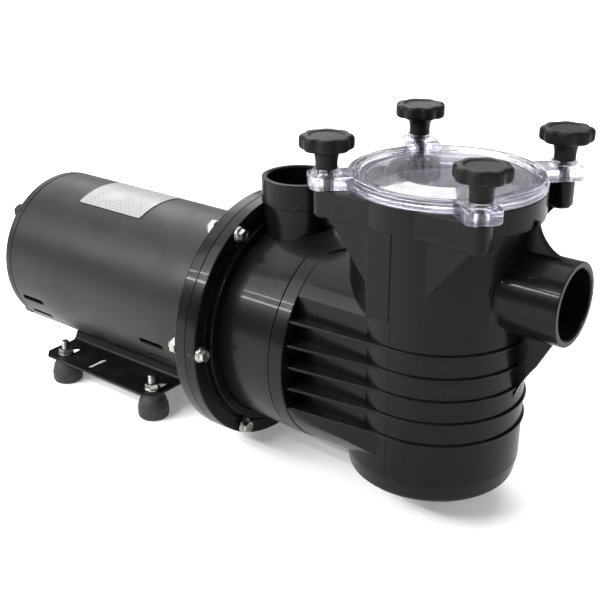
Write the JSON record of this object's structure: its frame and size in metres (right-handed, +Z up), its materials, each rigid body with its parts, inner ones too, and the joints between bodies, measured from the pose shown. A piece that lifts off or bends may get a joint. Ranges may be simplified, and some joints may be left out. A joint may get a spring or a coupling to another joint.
{
  "type": "pool pump",
  "caption": "Self-priming pool pump: clear-lidded strainer pot with suction and discharge ports, closed impeller in a flanged volute, and a horizontal electric motor on a footed base.",
  "frame": {"origin": "on the floor, under the middle of the pump's bounding box", "axes": "+X along the shaft towards the suction port, +Z up through the discharge port, Y = 0 the plane of symmetry"},
  "size_m": [0.608, 0.235, 0.324],
  "materials": {
    "black_plastic": "semi-gloss black moulded plastic",
    "knob_plastic": "matt black moulded plastic",
    "clear_plastic": "clear polycarbonate, faintly violet where it is thick",
    "basket_plastic": "pale grey moulded plastic",
    "motor_paint": "matt charcoal paint on steel",
    "base_paint": "satin black paint on pressed steel",
    "rubber": "matt black rubber",
    "seal_rubber": "smooth black seal rubber",
    "ceramic": "off-white ceramic",
    "zinc": "bright zinc-plated steel",
    "steel": "ground steel",
    "core_steel": "stacked laminations",
    "copper": "varnished copper wire",
    "label": "plain pale label with no lettering",
    "capacitor_case": "black moulded case"
  },
  "bodies": {
    "root": {"volute_housing": "black_plastic", "strainer_body": "black_plastic", "seal_plate": "black_plastic", "body_o_ring": "seal_rubber", "diffuser": "black_plastic", "seal_seat": "ceramic", "flange_bolt_1": "zinc", "flange_bolt_2": "zinc", "flange_bolt_3": "zinc", "flange_bolt_4": "zinc", "flange_bolt_5": "zinc", "flange_bolt_6": "zinc", "flange_nut_1": "zinc", "flange_nut_2": "zinc", "flange_nut_3": "zinc", "flange_nut_4": "zinc", "flange_nut_5": "zinc", "flange_nut_6": "zinc", "motor_shell": "motor_paint", "rear_end_bell": "motor_paint", "front_end_bell": "motor_paint", "stator_core": "core_steel", "front_winding": "copper", "rear_winding": "copper", "front_bearing_outer": "steel", "rear_bearing_outer": "steel", "through_bolt_1": "zinc", "through_bolt_2": "zinc", "through_bolt_3": "zinc", "through_bolt_4": "zinc", "capacitor": "capacitor_case", "nameplate": "label", "base_plate": "base_paint", "foot_1": "rubber", "foot_2": "rubber", "foot_3": "rubber", "foot_4": "rubber", "foot_stud_1": "zinc", "foot_stud_2": "zinc", "foot_stud_3": "zinc", "foot_stud_4": "zinc"},
    "rotor": {"rotor_core": "core_steel", "motor_shaft": "steel", "impeller": "black_plastic", "seal_rotating": "seal_rubber", "front_bearing_inner": "steel", "rear_bearing_inner": "steel", "cooling_fan": "knob_plastic"},
    "lid": {"lid": "clear_plastic", "lid_o_ring": "seal_rubber"},
    "basket": {"strainer_basket": "basket_plastic"},
    "washer_1": {"knob_washer_1": "clear_plastic"},
    "knob_1": {"knob_1": "knob_plastic"},
    "washer_2": {"knob_washer_2": "clear_plastic"},
    "knob_2": {"knob_2": "knob_plastic"},
    "washer_3": {"knob_washer_3": "clear_plastic"},
    "knob_3": {"knob_3": "knob_plastic"},
    "washer_4": {"knob_washer_4": "clear_plastic"},
    "knob_4": {"knob_4": "knob_plastic"}
  },
  "joints": [
    {"name": "rotor_spin", "type": "hinge", "parent": "root", "child": "rotor", "pos_m": [0, 0, 0.1207], "axis": [1, 0, 0], "continuous": true},
    {"name": "lid_lift", "type": "slide", "parent": "root", "child": "lid", "axis": [0, 0, 1], "range_m": [0, 0.32]},
    {"name": "basket_lift", "type": "slide", "parent": "root", "child": "basket", "axis": [0, 0, 1], "range_m": [0, 0.26]},
    {"name": "knob_1_rise", "type": "slide", "parent": "lid", "child": "washer_1", "axis": [0, 0, 1], "range_m": [0, 0.012]},
    {"name": "knob_1_turn", "type": "hinge", "parent": "washer_1", "child": "knob_1", "pos_m": [0.254, -0.068, 0.3], "axis": [0, 0, 1], "range_deg": [0, 2880]},
    {"name": "knob_2_rise", "type": "slide", "parent": "lid", "child": "washer_2", "axis": [0, 0, 1], "range_m": [0, 0.012]},
    {"name": "knob_2_turn", "type": "hinge", "parent": "washer_2", "child": "knob_2", "pos_m": [0.118, -0.068, 0.3], "axis": [0, 0, 1], "range_deg": [0, 2880]},
    {"name": "knob_3_rise", "type": "slide", "parent": "lid", "child": "washer_3", "axis": [0, 0, 1], "range_m": [0, 0.012]},
    {"name": "knob_3_turn", "type": "hinge", "parent": "washer_3", "child": "knob_3", "pos_m": [0.118, 0.068, 0.3], "axis": [0, 0, 1], "range_deg": [0, 2880]},
    {"name": "knob_4_rise", "type": "slide", "parent": "lid", "child": "washer_4", "axis": [0, 0, 1], "range_m": [0, 0.012]},
    {"name": "knob_4_turn", "type": "hinge", "parent": "washer_4", "child": "knob_4", "pos_m": [0.254, 0.068, 0.3], "axis": [0, 0, 1], "range_deg": [0, 2880]}
  ],
  "couplings": [
    {"joint": "basket_lift", "follows": "lid_lift", "ratio": 0.8},
    {"joint": "knob_1_turn", "follows": "knob_1_rise", "rad_per_m": 4188.8},
    {"joint": "knob_2_turn", "follows": "knob_2_rise", "rad_per_m": 4188.8},
    {"joint": "knob_3_turn", "follows": "knob_3_rise", "rad_per_m": 4188.8},
    {"joint": "knob_4_turn", "follows": "knob_4_rise", "rad_per_m": 4188.8}
  ]
}
